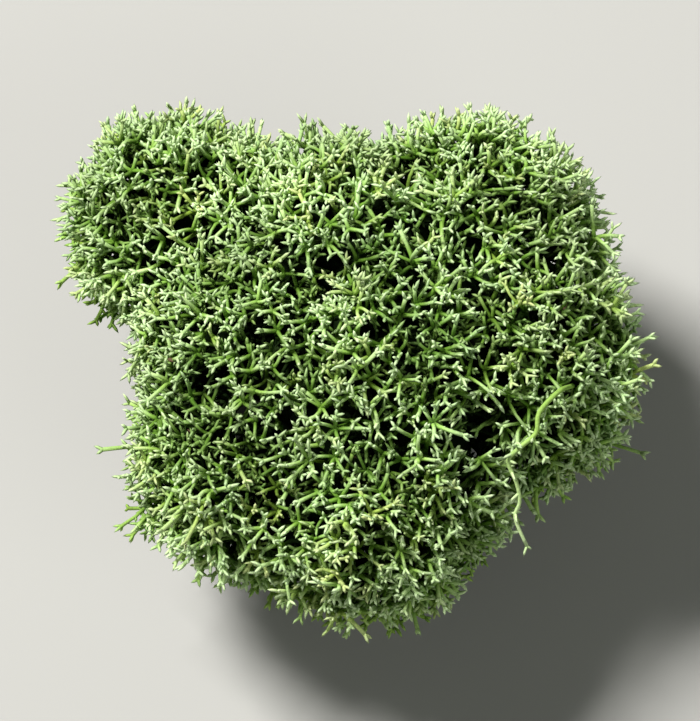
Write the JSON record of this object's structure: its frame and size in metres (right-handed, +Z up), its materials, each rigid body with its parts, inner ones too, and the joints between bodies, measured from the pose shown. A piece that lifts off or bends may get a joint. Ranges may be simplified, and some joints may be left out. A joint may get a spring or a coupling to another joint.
{
  "type": "reindeer moss clump",
  "caption": "Domed clump of dyed, preserved reindeer moss: bushy branched heads pressed together on one bunch of stalks, resting on their cut ends.",
  "frame": {"origin": "middle of the flat cut end of the central stalk, on the surface that the clump rests on", "axes": "+Z up through the crown, +X to the right and +Y away from the viewer, as the crown is seen in the picture"},
  "size_m": [0.0541, 0.0496, 0.0381],
  "materials": {
    "moss": "matte"
  },
  "bodies": {
    "root": {"podetium_centre": "moss", "podetium_right": "moss", "podetium_back_right": "moss", "podetium_back": "moss", "podetium_back_left": "moss", "podetium_left": "moss", "podetium_front_left": "moss", "podetium_front": "moss"}
  },
  "joints": []
}
